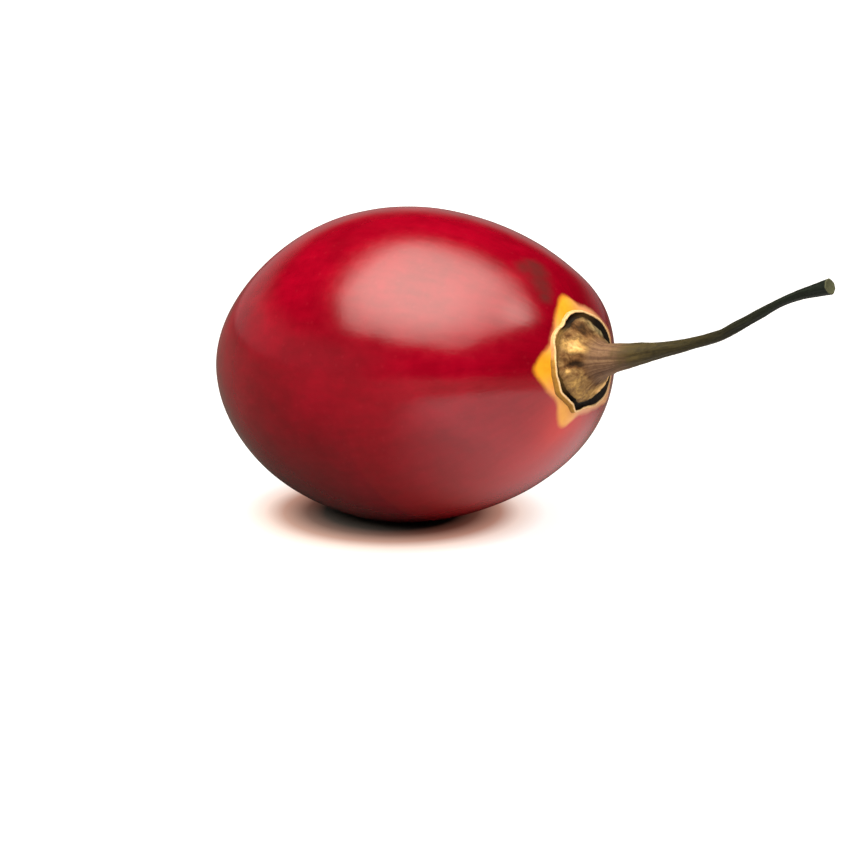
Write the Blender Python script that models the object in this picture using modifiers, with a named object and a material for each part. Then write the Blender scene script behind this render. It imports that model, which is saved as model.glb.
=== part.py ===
"""A whole tamarillo lying on its side, with its dried calyx and its stem.

Metres, +Z up. The origin is the middle of the small flat spot that the fruit rests on, and
the stem end points towards +X. The fruit, calyx and stem are drawn about one empty on the
fruit's axis, whose local Z runs from the tip of the fruit to its stem end.
"""

import math

import bmesh
import bpy
import numpy as np
from mathutils import Vector

MM = 0.001

# The fruit, an egg that is a little blunter at its stem end.
FRUIT_LENGTH = 70.0 * MM
FRUIT_WIDTH = 48.0 * MM
EGG_SHAPE = (-0.015, -0.14, 0.12, 0.137)  # how the profile departs from an ellipse, by powers of u
SHOULDER_FULLNESS = 0.072  # extra radius where one shoulder bulges beside the calyx
SHOULDER_AT = (0.90, math.radians(118))  # (u, angle round the axis from the underside)
SHOULDER_SPREAD = (0.10, math.radians(37))
STYLE_TIP_RISE = 0.9 * MM  # the small point that the flower's style leaves on the blossom end
STYLE_TIP_RADIUS = 1.5 * MM
AXIS_TILT = math.radians(9.3)  # the stem end lies a little higher
REST_SPOT_DEPTH = 0.6 * MM  # how much of the skin is flattened where the fruit rests

# The calyx, a shallow dried dish with a raised rim drawn out into five lobes.
GAP = 0.3 * MM  # clearance between pieces that touch
CALYX_REACH = 6.55 * MM  # rim radius between the lobes
CALYX_HUB_RADIUS = 3.1 * MM  # the flat seat that the stem stands on
CALYX_HUB_HEIGHT = 2.4 * MM  # above the end of the fruit
CALYX_THICKNESS = 0.6 * MM
CALYX_RIDGE_HEIGHT = 1.5 * MM  # heights over the skin: ridge round the hub, gutter, rim
CALYX_GUTTER_HEIGHT = GAP + CALYX_THICKNESS
CALYX_RIM_HEIGHT = 1.35 * MM
LOBE_CURL = 0.15 * MM  # how far the tip of a 1 mm lobe lifts off the skin
LOBES = (  # (angle from the underside in degrees, reach past the rim in mm, half width in degrees)
    (48, 1.2, 30),
    (102, 1.1, 30),
    (190, 0.9, 32),
    (230, 0.85, 26),
    (340, 1.0, 18),
)

# The stem, in mm: along the fruit's axis from its middle, sideways, rise, and radius.
STEM_ROUTE = (
    (37.7, 0.00, 0.00, 3.10),
    (38.1, 0.00, 0.00, 2.85),
    (38.8, 0.08, 0.12, 2.42),
    (39.7, 0.20, 0.30, 2.12),
    (42.4, 0.60, 0.55, 1.72),
    (47.3, 1.15, 1.10, 1.12),
    (52.3, 1.40, 1.80, 0.82),
    (57.6, 1.25, 2.90, 0.75),
    (61.2, 0.90, 4.25, 0.72),
    (64.9, 0.45, 5.70, 0.68),
    (68.6, -0.10, 7.15, 0.58),
    (72.2, -0.60, 8.20, 0.70),
    (77.2, -1.15, 9.15, 1.05),
)
STEM_STEPS_PER_SPAN = 3

# How finely the round shapes are divided.
FRUIT_RINGS = 36
FRUIT_SIDES = 72
CALYX_SIDES = 90
MERGE = 0.01 * MM


def fruit_radius(u):
    """Radius of the turned fruit at u, which runs from -1 at the tip to 1 at the stem end."""
    powers = sum(k * u ** (i + 1) for i, k in enumerate(EGG_SHAPE))
    return FRUIT_WIDTH / 2 * math.sqrt(max(1 - u * u, 0.0)) * (1 + powers)


def angle_between(a, b):
    """The smaller angle from a to b, in radians."""
    return abs((a - b + math.pi) % math.tau - math.pi)


def fullness(u, angle):
    """What the fruit's radius is multiplied by at u and this angle round the axis."""
    along = (u - SHOULDER_AT[0]) / SHOULDER_SPREAD[0]
    around = angle_between(angle, SHOULDER_AT[1]) / SHOULDER_SPREAD[1]
    return 1 + SHOULDER_FULLNESS * math.exp(-(along**2) - around**2)


def fruit_profile():
    """(radius, height) down the outer side, from the stem end to the tip."""
    points = []
    for i in range(FRUIT_RINGS + 1):
        u = math.cos(math.pi * i / FRUIT_RINGS)
        radius = fruit_radius(u)
        point = STYLE_TIP_RISE * math.exp(-((radius / STYLE_TIP_RADIUS) ** 2)) if u < 0 else 0.0
        points.append((radius, FRUIT_LENGTH / 2 * u - point))
    points[0] = (0.0, points[0][1])
    points[-1] = (0.0, points[-1][1])
    return points


def skin_height(radius, angle):
    """Height of the skin at the stem end, at this distance from the fruit's axis and this angle."""
    us = [1 - (i / 80) ** 2 for i in range(60)]
    radii = [fruit_radius(u) * fullness(u, angle) for u in us]
    return float(np.interp(radius, radii, [FRUIT_LENGTH / 2 * u for u in us]))


def resting_place():
    """Where the fruit's middle stands, so that its flat spot is centred on the origin."""
    steps = [-1 + i / 1000 for i in range(2001)]
    rings = [(FRUIT_LENGTH / 2 * u, fruit_radius(u)) for u in steps]
    lowest = min(rings, key=lambda ring: along_z(*ring))
    return Vector((-along_x(*lowest), 0.0, -along_z(*lowest) - REST_SPOT_DEPTH))


def along_x(height, radius):
    """World X, from the fruit's middle, of the underside at this height on its axis."""
    return height * math.cos(AXIS_TILT) + radius * math.sin(AXIS_TILT)


def along_z(height, radius):
    """World Z, from the fruit's middle, of the underside at this height on its axis."""
    return height * math.sin(AXIS_TILT) - radius * math.cos(AXIS_TILT)


def clear_scene():
    for obj in list(bpy.data.objects):
        bpy.data.objects.remove(obj, do_unlink=True)


def new_collection(name):
    collection = bpy.data.collections.new(name)
    bpy.context.scene.collection.children.link(collection)
    return collection


def new_material(name, colour, roughness):
    material = bpy.data.materials.new(name)
    material.use_nodes = True
    shader = material.node_tree.nodes["Principled BSDF"]
    shader.inputs["Base Color"].default_value = (*colour, 1.0)
    shader.inputs["Roughness"].default_value = roughness
    shader.inputs["Metallic"].default_value = 0.0
    return material


def add_object(name, data, collection, axis, material=None):
    obj = bpy.data.objects.new(name, data)
    collection.objects.link(obj)
    obj.parent = axis
    if material:
        data.materials.append(material)
    return obj


def turned_profile(name, profile):
    """A mesh of edges through (radius, height) points, to be turned about Z."""
    mesh = bpy.data.meshes.new(name)
    edges = [(i, i + 1) for i in range(len(profile) - 1)]
    mesh.from_pydata([(radius, 0.0, height) for radius, height in profile], edges, [])
    return mesh


def turned_mesh(name, profile, sides):
    """The solid that this profile sweeps round Z, as a mesh whose points can still be shaped."""
    blank = bpy.data.objects.new(name + "_blank", turned_profile(name + "_blank", profile))
    bpy.context.scene.collection.objects.link(blank)
    screw = blank.modifiers.new("Turn", "SCREW")
    screw.steps = sides
    screw.render_steps = sides
    screw.use_merge_vertices = True
    screw.merge_threshold = MERGE
    screw.use_smooth_shade = True
    graph = bpy.context.evaluated_depsgraph_get()
    mesh = bpy.data.meshes.new_from_object(blank.evaluated_get(graph))
    mesh.name = name
    bpy.data.objects.remove(blank, do_unlink=True)
    return mesh


def build_axis(collection):
    """The empty that the three pieces hang from."""
    axis = bpy.data.objects.new("fruit_axis", None)
    collection.objects.link(axis)
    axis.location = resting_place()
    axis.rotation_euler = (0.0, math.radians(90) - AXIS_TILT, 0.0)
    return axis


def build_fruit(collection, cutters, axis):
    """A turned egg with one fuller shoulder, trimmed flat where it rests."""
    skin = new_material("tamarillo_skin", (0.36, 0.012, 0.022), 0.28)
    mesh = turned_mesh("fruit", fruit_profile(), FRUIT_SIDES)
    for vertex in mesh.vertices:
        u = vertex.co.z / (FRUIT_LENGTH / 2)
        grow = fullness(u, math.atan2(vertex.co.y, vertex.co.x))
        vertex.co.x *= grow
        vertex.co.y *= grow
    fruit = add_object("fruit", mesh, collection, axis, skin)
    flatten = fruit.modifiers.new("Rest spot", "BOOLEAN")
    flatten.operation = "DIFFERENCE"
    flatten.solver = "EXACT"
    flatten.object = build_rest_cutter(cutters)
    return fruit


def build_rest_cutter(cutters):
    """A block below the surface that the fruit rests on, which trims its underside flat."""
    mesh = bpy.data.meshes.new("rest_cutter")
    block = bmesh.new()
    bmesh.ops.create_cube(block, size=FRUIT_WIDTH)
    bmesh.ops.translate(block, verts=block.verts, vec=(0.0, 0.0, -FRUIT_WIDTH / 2))
    block.to_mesh(mesh)
    block.free()
    cutter = add_object("rest_cutter", mesh, cutters, None)
    cutter.hide_render = True
    cutter.display_type = "WIRE"
    return cutter


def calyx_profile():
    """(radius, height over the skin) of the dish without lobes: top, then rim, then underside."""
    end = FRUIT_LENGTH / 2
    top = []
    for share in (0.0, 0.5, 1.0):
        radius = share * CALYX_HUB_RADIUS
        top.append((radius, end + CALYX_HUB_HEIGHT - skin_height(radius, 0.0)))
    below_hub = (  # (share of the rim radius, height over the skin)
        (0.55, 0.5 * (CALYX_HUB_HEIGHT + CALYX_RIDGE_HEIGHT)),
        (0.64, 1.1 * CALYX_RIDGE_HEIGHT),
        (0.76, CALYX_RIDGE_HEIGHT),
        (0.81, 1.1 * CALYX_GUTTER_HEIGHT),
        (0.88, CALYX_GUTTER_HEIGHT),
        (0.92, 0.5 * (CALYX_GUTTER_HEIGHT + CALYX_RIM_HEIGHT)),
        (0.95, CALYX_RIM_HEIGHT),
        (0.99, CALYX_RIM_HEIGHT),
        (1.02, 0.85 * CALYX_RIM_HEIGHT),
        (1.02, 0.55 * CALYX_RIM_HEIGHT),
        (0.97, GAP),
        (0.85, GAP),
        (0.70, GAP),
        (0.50, GAP),
        (0.25, GAP),
        (0.0, GAP),
    )
    return top + [(share * CALYX_REACH, height) for share, height in below_hub]


def lobe_reach(angle):
    """How far the rim reaches past its plain circle at this angle round the axis."""
    reach = 0.0
    for degrees, length, half_width in LOBES:
        away = angle_between(angle, math.radians(degrees)) / math.radians(half_width)
        reach = max(reach, length * MM * (1 - away))
    return reach


def build_calyx(collection, axis):
    """A turned dish that is then drawn out into its lobes and laid over the end of the fruit."""
    tan = new_material("dry_calyx", (0.42, 0.27, 0.12), 0.75)
    mesh = turned_mesh("calyx", calyx_profile(), CALYX_SIDES)
    for vertex in mesh.vertices:
        radius = math.hypot(vertex.co.x, vertex.co.y)
        angle = math.atan2(vertex.co.y, vertex.co.x)
        outward = max(0.0, radius - CALYX_HUB_RADIUS) / (CALYX_REACH - CALYX_HUB_RADIUS)
        stretch = lobe_reach(angle) * outward
        if stretch > 0.0:
            vertex.co.x *= 1 + stretch / radius
            vertex.co.y *= 1 + stretch / radius
        curl = LOBE_CURL * stretch / MM
        vertex.co.z += skin_height(radius + stretch, angle) + curl
    return add_object("calyx", mesh, collection, axis, tan)


def smooth_route():
    """Points along the stem in metres: its foot stands square on the hub, the rest is rounded."""
    route = [Vector(point) * MM for point in STEM_ROUTE]
    points = [route[0]]
    route.append(2 * route[-1] - route[-2])
    for i in range(1, len(STEM_ROUTE) - 1):
        before, start, stop, after = route[i - 1 : i + 3]
        for step in range(STEM_STEPS_PER_SPAN):
            t = step / STEM_STEPS_PER_SPAN
            points.append(
                0.5
                * (
                    2 * start
                    + t * (stop - before)
                    + t**2 * (2 * before - 5 * start + 4 * stop - after)
                    + t**3 * (3 * start - before - 3 * stop + after)
                )
            )
    return [*points, route[-2]]


def build_stem(collection, axis):
    """A tapering bent stalk that flares at its foot and where it was cut."""
    bark = new_material("stem_bark", (0.075, 0.055, 0.03), 0.8)
    curve = bpy.data.curves.new("stem", "CURVE")
    curve.dimensions = "3D"
    curve.bevel_depth = 1.0
    curve.bevel_resolution = 2
    curve.use_fill_caps = True
    points = smooth_route()
    spline = curve.splines.new("POLY")
    spline.points.add(len(points) - 1)
    for target, (along, side, rise, radius) in zip(spline.points, points):
        target.co = (-rise, side, along, 1.0)
        target.radius = radius
    return add_object("stem", curve, collection, axis, bark)


def main():
    clear_scene()
    tamarillo = new_collection("tamarillo")
    cutters = new_collection("cutters")
    axis = build_axis(tamarillo)
    build_fruit(tamarillo, cutters, axis)
    build_calyx(tamarillo, axis)
    build_stem(tamarillo, axis)


if __name__ == "__main__":
    main()
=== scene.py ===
"""Dresses the tamarillo: its ripe skin, its dried calyx and its woody stem, on a pale stage.

Metres, +Z up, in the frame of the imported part. The three pieces share one placement: its
local Z is the fruit's axis, from the tip to the stem end, and its local X points down.
"""

import math

import bpy
import numpy as np
from bpy.props import FloatProperty, FloatVectorProperty, PointerProperty
from mathutils import Euler, Matrix, Vector, noise


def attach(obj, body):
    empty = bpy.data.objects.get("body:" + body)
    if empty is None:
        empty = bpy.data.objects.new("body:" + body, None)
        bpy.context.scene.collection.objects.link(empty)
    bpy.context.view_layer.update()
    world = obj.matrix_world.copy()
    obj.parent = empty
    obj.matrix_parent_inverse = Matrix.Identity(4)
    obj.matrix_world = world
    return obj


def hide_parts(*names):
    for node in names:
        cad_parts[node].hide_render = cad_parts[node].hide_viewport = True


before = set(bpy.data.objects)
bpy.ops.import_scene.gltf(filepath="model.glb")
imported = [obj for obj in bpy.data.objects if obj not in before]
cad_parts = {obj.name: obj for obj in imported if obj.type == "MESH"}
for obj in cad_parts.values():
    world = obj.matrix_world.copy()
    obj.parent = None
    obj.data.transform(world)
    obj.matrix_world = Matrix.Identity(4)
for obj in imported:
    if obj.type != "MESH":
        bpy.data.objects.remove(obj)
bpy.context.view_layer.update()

bl_info = {
    "name": "Tamarillo",
    "version": (1, 0, 0),
    "blender": (4, 5, 0),
    "location": "View3D > Sidebar > Tamarillo",
    "description": "Builds a whole tamarillo with its calyx and stem, and a stage to show it on",
    "category": "Add Mesh",
}

MM = 0.001

# The fruit, an egg that is a little blunter at its stem end and fuller on one shoulder.
EGG_SHAPE = (-0.015, -0.14, 0.12, 0.137)  # how the profile departs from an ellipse, by powers of u
SHOULDER_FULLNESS = 0.072
SHOULDER_AT = (0.9, math.radians(118))  # (u, angle round the axis from the underside)
SHOULDER_SPREAD = (0.1, math.radians(37))
STYLE_TIP_RISE = 0.9 * MM
STYLE_TIP_RADIUS = 1.5 * MM
AXIS_TILT = math.radians(9.3)
REST_SPOT_DEPTH = 0.6 * MM
REST_SPOT_SOFTNESS = 0.12 * MM
OVALNESS = 0.1  # mm that the girth is out of round
LOBE_HEIGHT = 0.05  # mm, of the five faint lobes that growth leaves
SKIN_WAVES = ((0.1, 13.0, 1), (0.03, 4.0, 2))  # (height and size in mm, seed)
FRUIT_RINGS = 210
FRUIT_SIDES = 400
END_CROWDING = 0.06  # how much closer the rings stand towards the ends

# The unripe star on the skin round the calyx: (degrees from the underside, reach in mm, and
# how far its orange has paled to peach).
STAR_OUTLINE = (
    (0, 7.7, 0.9), (16, 7.9, 0.9), (32, 8.7, 0.8), (46, 10.4, 0.7), (62, 8.8, 0.8), (80, 8.3, 0.8),
    (94, 8.5, 0.8), (106, 9.5, 0.7), (114, 9.1, 0.8), (124, 8.4, 0.9), (140, 8.15, 0.9),
    (156, 8.1, 1.0), (169, 8.1, 0.7), (177, 9.4, 0.15), (184, 9.8, 0.05), (191, 9.3, 0.0),
    (201, 8.55, 0.05), (211, 7.95, 0.25), (219, 7.45, 0.55), (228, 7.15, 0.8), (241, 7.05, 0.8),
    (248, 7.55, 0.3), (256, 8.2, 0.0), (267, 9.3, 0.0), (274, 9.15, 0.0), (281, 8.7, 0.05),
    (288, 8.3, 0.25), (296, 7.9, 0.45), (306, 7.7, 0.4), (315, 8.05, 0.2), (324, 9.0, 0.1),
    (333, 10.0, 0.1), (339, 9.8, 0.2), (345, 8.6, 0.6), (352, 7.8, 0.9),
)
OFF_STAR = 30.0  # mm, a margin so wide that nothing of the star shows

# The coppery blush below the calyx, whose broad second fade is painted light on the fruit's lower
# side,
# and how each fades from the star: (strength, reach in mm).
BLUSH_SIDE = (342, 38)  # degrees from the underside, and spread
BLUSH_FADES = ((0.35, 3.0), (0.3, 18.0))

# The rubbed mark on the upper shoulder: (x, y, z and size) of the spots that make it up, in mm.
RUB_MARKS = (
    (-14.1, -3.1, 28.2, 1.9), (-14.0, -1.4, 28.7, 2.3), (-13.1, -1.9, 29.6, 2.5),
    (-11.9, -2.7, 30.5, 2.3), (-10.9, -3.2, 31.2, 2.0), (-9.9, -3.8, 31.8, 1.5),
)

# The calyx: (degrees from the underside, reach of the sepals, reach of the rim and its height
# over the skin, all three in mm, and depth of the gutter between them, from 0 to 1, which also
# darkens it as painted shade).
CALYX_OUTLINE = (
    (0, 5.4, 6.9, 0.25, 1.0), (16, 5.0, 7.2, 0.22, 1.0), (32, 4.9, 7.8, 0.2, 1.0),
    (45, 5.0, 8.2, 0.2, 1.0), (62, 5.1, 8.1, 0.2, 0.9), (80, 5.2, 8.0, 0.2, 0.9),
    (100, 5.1, 8.1, 0.2, 1.0), (113, 5.0, 8.2, 0.2, 1.0), (125, 4.9, 8.0, 0.2, 1.0),
    (139, 5.0, 7.55, 0.2, 1.0), (153, 5.4, 7.15, 0.25, 0.9), (165, 5.9, 7.2, 0.35, 0.8),
    (178, 6.2, 7.22, 0.42, 0.9), (188, 6.1, 7.28, 0.42, 1.0), (199, 5.9, 7.08, 0.38, 1.0),
    (209, 5.9, 6.7, 0.38, 0.9), (222, 6.2, 6.9, 0.32, 0.4), (231, 6.3, 7.0, 0.34, 0.25),
    (238, 6.3, 6.86, 0.38, 0.25), (245, 6.2, 6.62, 0.5, 0.25), (252, 6.1, 6.42, 0.58, 0.35),
    (260, 6.1, 6.62, 0.64, 0.4), (270, 6.0, 6.52, 0.76, 0.4), (279, 6.1, 6.74, 0.84, 0.4),
    (290, 6.0, 6.7, 0.9, 0.45), (300, 5.9, 7.05, 0.95, 0.6), (310, 5.8, 6.9, 0.9, 0.85),
    (317, 5.8, 6.8, 0.85, 1.0), (326, 5.9, 6.85, 0.85, 1.0), (332, 6.0, 7.2, 0.75, 1.0),
    (339, 6.0, 7.55, 0.6, 1.0), (346, 5.8, 7.3, 0.45, 1.0), (353, 5.5, 6.95, 0.32, 1.0),
)
# Where the sepals dried paler (above 0) or darker: (degrees, reach and size in mm, how much).
SEPAL_PATCHES = (
    (234, 4.5, 1.1, 0.4), (222, 5.6, 0.5, -0.15), (248, 3.6, 0.5, -0.18), (267, 4.2, 0.6, -0.55),
    (271, 3.4, 0.5, -0.5), (278, 5.1, 0.32, 0.4), (262, 5.3, 0.45, -0.12), (305, 4.5, 1.0, 0.24),
    (294, 3.4, 0.5, -0.16), (322, 5.3, 0.7, 0.12), (345, 3.1, 0.6, -0.3), (194, 5.1, 1.1, -0.36),
    (180, 4.0, 1.0, -0.22), (206, 4.6, 0.35, 0.16), (215, 3.4, 0.6, -0.12), (146, 4.6, 0.8, -0.05),
    (60, 4.2, 1.2, 0.15), (95, 4.3, 1.0, -0.2),
)
# Where their edge is pale, and where it is grey: (degrees, spread in degrees, how much).
PALE_EDGE = (35, 38, 0.55)
GREY_EDGE = (143, 32, 0.7)
SEPAL_SEAMS = (75, 128, 197, 267, 342)  # degrees from the underside
SEAM_SPREAD = 7.0  # degrees
SEAM_DEPTH = 0.32
# Height of the sepals over the skin, by the distance from the axis, in mm: a collar that runs
# up on to the stem, then a slope down to the gutter.
SEPAL_SLOPE = (
    (0.0, 4.5), (2.05, 4.45), (2.17, 4.2), (2.3, 3.8), (2.62, 3.0), (3.2, 2.4), (3.9, 1.9),
    (4.6, 1.5), (5.3, 1.15), (6.7, 0.9),
)
COLLAR_RADIUS = 2.4
SEPAL_REACH, RIM_REACH = 6.0, 6.5  # mm, about, where their edges' unevenness is read
# Unevenness of the dried tissue: (height and size in mm, seed).
SEPAL_EDGE_WAVES = ((0.14, 0.9, 8), (0.05, 0.3, 14))
RIM_EDGE_WAVES = ((0.09, 1.1, 3), (0.03, 0.35, 15))
CREST_WAVES = ((0.22, 1.3, 7),)  # this height is a share of the crest's
SEPAL_LUMPS = ((0.17, 0.8, 5), (0.045, 0.3, 6))
# Folds that run outwards: (height in mm, how fine round the axis and outwards, seed).
SEPAL_FOLDS = ((0.16, 8.0, 1.2, 4), (0.05, 20.0, 1.6, 9))
# Heights over the skin and widths, in mm.
LOWEST_SEPAL = 0.15
EDGE_ROLL = 0.22
GUTTER_FLOOR = 0.52  # where it is shallow
GUTTER_DEPTH = 0.4
GUTTER_WIDTH = 0.46  # at its narrowest
RIM_THICKNESS = 0.22
RIM_FLARE = 0.12
RIM_FOOT = -0.08
UNDERSIDE = -0.15
CALYX_SIDES = 400

# The stem, in mm: along the fruit's axis from its middle, sideways, rise, and radius.
STEM_ROUTE = (
    (36.4, 0.0, 0.0, 2.6), (37.2, 0.0, 0.0, 2.5), (38.1, 0.01, 0.02, 2.39),
    (38.8, 0.06, 0.09, 2.28), (39.7, 0.18, 0.26, 2.12), (42.4, 0.6, 0.55, 1.72),
    (47.3, 1.15, 1.1, 1.12), (52.3, 1.4, 1.8, 0.82), (57.6, 1.25, 2.9, 0.75),
    (61.2, 0.9, 4.25, 0.72), (64.9, 0.45, 5.7, 0.68), (68.6, -0.1, 7.15, 0.58),
    (72.2, -0.6, 8.2, 0.7), (77.2, -1.15, 9.15, 1.05),
)
# The rings of its cut end, which turn in over the edge to a slightly sunken face: (share of the
# radius, how far past the end in mm).
CUT_END = ((0.97, 0.06), (0.9, 0.1), (0.75, 0.05), (0.45, -0.02), (0.15, 0.0))
# The bark's pattern is laid out on a straight stalk of this radius in mm, and its heights are
# shares of the stem's own radius.
STRAIGHT_RADIUS = 1.6
RIBS, RIB_HEIGHT = 7, 0.03
# (height, the pattern's steps lengthwise against those round it, size in mm, seed)
CRINKLES = ((0.07, 0.16, 0.62, 11), (0.06, 1.0, 2.2, 12), (0.025, 0.5, 0.35, 13))
STEM_STEPS_PER_SPAN = 24
STEM_SIDES = 72

# The stage.
CAMERA_AZIMUTH = math.radians(41.15)
CAMERA_ELEVATION = math.radians(14.0)
CAMERA_AT = Vector((236.306, -262.722, 101.846)) * MM
CAMERA_LENS, CAMERA_SENSOR = 100.0, 36.0
BACKDROP_TURN = math.radians(40)  # from straight behind the fruit to its tip's side
FLOOR_SIDES = 96
# Rings of the floor, the last one turned down: (share of its radius, height).
FLOOR_RINGS = ((0.02, 0.0), (0.2, 0.0), (0.6, 0.0), (1.0, 0.0), (1.0, -0.002))
# The painted contact shadow in the floor's glow reaches this far.
PAINTED_SHADOW_RADIUS = 40 * MM  # round the rest spot
STEM_GLOW_AT = Vector((70, -30, 0)) * MM
# The softbox: size and place as shares of its height, and the share that fades at its edges.
SOFTBOX_SIZE = (2.1, 2.84)
SOFTBOX_AT = (0.12, -0.95, 1.0)
SOFTBOX_TURN = math.radians(-8)
SOFTBOX_COLOUR = (1.0, 0.95, 0.83)
SOFTBOX_EDGE = 0.18
# The lamps behind its cloth: (place across it, how far it fades, how bright in the middle and
# beyond), a strong one near its middle and a weak one at a corner.
SOFTBOX_LAMPS = (((0.36, 0.58, 0.0), 0.52, 1.0, 0.33), ((0.77, 0.86, 0.0), 0.24, 0.42, 0.0))

# Settings that several nodes or properties share.
COLOURS = {"data_type": "RGBA"}
DARKENED = {"data_type": "RGBA", "blend_type": "MULTIPLY"}
SOFT_STEP = {"interpolation_type": "SMOOTHSTEP"}
SCALED_SUM = {"operation": "MULTIPLY_ADD"}  # the first times the second, plus the third
COLOUR_PICKER = {"size": 4, "min": 0, "max": 1, "subtype": "COLOR"}


def linear(code):
    """The linear RGBA of an sRGB hex colour."""
    channels = [int(code[i : i + 2], 16) / 255 for i in (1, 3, 5)]
    made = [c / 12.92 if c <= 0.04045 else ((c + 0.055) / 1.055) ** 2.4 for c in channels]
    return (*made, 1.0)


def add_node(tree, kind, inputs=None, stops=None, **settings):
    """A shader node with its settings, its inputs set or linked, and its ramp's stops.

    A colour is an sRGB hex or a linear RGBA, and a node given as an input stands for its first
    output in use. Inputs go by name, or by number where names repeat or are long: a Mix has 0
    for how much it takes of the second, and 6 and 7 for its colours, or 2 and 3 for its
    numbers. A MapRange turns 1 to 2 into 3 to 4, and both ranges are 0 to 1 unless set.
    """
    made = tree.nodes.new("ShaderNode" + kind)
    for name, value in settings.items():
        setattr(made, name, value)
    for name, value in (inputs or {}).items():
        if isinstance(value, str):
            value = linear(value)
        if isinstance(value, bpy.types.Node):
            value = next(output for output in value.outputs if output.enabled)
        if isinstance(value, bpy.types.NodeSocket):
            tree.links.new(value, made.inputs[name])
        else:
            made.inputs[name].default_value = value
    for i, (position, colour) in enumerate(stops or ()):
        elements = made.color_ramp.elements
        element = elements[i] if i < 2 else elements.new(position)
        element.position = position
        element.color = linear(colour) if isinstance(colour, str) else colour
    return made


def new_material(name):
    """An empty node material of this name, in place of any old one, and its node tree."""
    old = bpy.data.materials.get(name)
    if old and old.library is None:
        old.name = name + "_old"
    material = bpy.data.materials.new(name)
    material.use_nodes = True
    material.node_tree.nodes.clear()
    return material, material.node_tree


def placed(name, mesh, placement, material):
    """An object of this name, in place of any old one, that keeps its place in the fruit's frame.

    The mesh moves to its place and remembers where each point was in the fruit's own frame,
    so that the materials' patterns follow the fruit's axis.
    """
    old = bpy.data.objects.get(name)
    if old:
        bpy.data.objects.remove(old, do_unlink=True)
    at = np.empty(len(mesh.vertices) * 3, np.float32)
    mesh.vertices.foreach_get("co", at)
    layer = mesh.attributes.new("fruit_frame", "FLOAT_VECTOR", "POINT")
    layer.data.foreach_set("vector", at)
    mesh.transform(placement)
    piece = bpy.data.objects.new(name, mesh)
    bpy.context.scene.collection.objects.link(piece)
    mesh.materials.append(material)
    return piece


def quad_sheet(rows, columns):
    """Faces of a grid of points, rows by columns, closed round its columns."""
    i, j = np.meshgrid(np.arange(rows - 1), np.arange(columns), indexing="ij")
    k = (j + 1) % columns
    corners = (i * columns + j, (i + 1) * columns + j, (i + 1) * columns + k, i * columns + k)
    return np.stack(corners, axis=-1).reshape(-1, 4)


def lathe_mesh(name, rings):
    """A closed smooth mesh through rings (rows, columns, 3), with a point closing each end."""
    rows, columns = rings.shape[:2]
    points = [*rings.reshape(-1, 3), rings[0].mean(axis=0), rings[-1].mean(axis=0)]
    first, last = rows * columns, rows * columns + 1
    faces = [tuple(face) for face in quad_sheet(rows, columns).tolist()]
    faces += [(first, j, (j + 1) % columns) for j in range(columns)]
    tail = (rows - 1) * columns
    faces += [(last, tail + (j + 1) % columns, tail + j) for j in range(columns)]
    mesh = bpy.data.meshes.new(name)
    mesh.from_pydata([tuple(map(float, point)) for point in points], [], faces)
    mesh.validate()
    mesh.shade_smooth()
    return mesh


def store(mesh, name, values, first, last):
    """Keeps one number a point for the material to read, with those of the two end points."""
    layer = mesh.attributes.new(name, "FLOAT", "POINT")
    layer.data.foreach_set("value", np.append(values, (first, last)).astype(np.float32))


def ripple(points, size, seed):
    """Smooth noise from -1 to 1 at these points in mm, with features of this size in mm."""
    shift = Vector((seed * 7.31, seed * 3.17, seed * 5.77))
    flat = points.reshape(-1, 3) / size
    made = [noise.noise(Vector(point) + shift) for point in flat]
    return np.array(made).reshape(points.shape[:-1])


def ripples(points, waves):
    """Ripples laid over each other, from rows of (height, size and seed)."""
    return sum(height * ripple(points, size, seed) for height, size, seed in waves)


def round_outline(outline, angles, column=1, blur=3.0):
    """A column of a closed outline, whose rows start with their degrees, read at these angles.

    Its corners are rounded over this many degrees.
    """
    degrees = np.array([row[0] for row in outline], float)
    value = np.array([row[column] for row in outline], float)
    # Read every half degree, with 20 degrees to spare at both ends.
    fine = np.arange(-40, 760) / 2
    weights = hump(np.arange(-40, 41) / 2 / blur)
    even = np.interp(fine, degrees, value, period=360)
    even = np.convolve(even, weights / weights.sum(), "valid")
    return np.interp(np.degrees(angles) % 360, fine[40:-40], even)


def fruit_radius(u, width):
    """Radius of the turned fruit at u, which runs from -1 at the tip to 1 at the stem end."""
    powers = sum(k * u ** (i + 1) for i, k in enumerate(EGG_SHAPE))
    return width / 2 * np.sqrt(np.maximum(1 - u * u, 0.0)) * (1 + powers)


def apart(a, b):
    """The smaller angle from a to b, in radians."""
    return np.abs((a - b + math.pi) % math.tau - math.pi)


def hump(t):
    """1 where t is 0, and softly down to nothing on both sides."""
    return np.exp(-(t**2))


def towards(angle, at, spread, peak=1.0):
    """Its peak at this many degrees round the axis, and softly down over this many each way."""
    return peak * hump(np.degrees(apart(angle, math.radians(at))) / spread)


def fullness(u, angle):
    """What the fruit's radius is multiplied by at u and this angle round the axis."""
    along = (u - SHOULDER_AT[0]) / SHOULDER_SPREAD[0]
    around = apart(angle, SHOULDER_AT[1]) / SHOULDER_SPREAD[1]
    return 1 + SHOULDER_FULLNESS * np.exp(-(along**2) - around**2)


def fruit_placement(size):
    """Where the fruit's own frame stands, so that its flat spot is centred on the origin."""
    u = np.linspace(-1, 1, 2001)
    height = size.length / 2 * u
    radius = fruit_radius(u, size.width)
    x = height * math.cos(AXIS_TILT) + radius * math.sin(AXIS_TILT)
    z = height * math.sin(AXIS_TILT) - radius * math.cos(AXIS_TILT)
    lowest = int(np.argmin(z))
    middle = Vector((-float(x[lowest]), 0.0, -float(z[lowest]) - REST_SPOT_DEPTH))
    turn = Euler((0.0, math.radians(90) - AXIS_TILT, 0.0)).to_matrix().to_4x4()
    return Matrix.Translation(middle) @ turn


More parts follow.
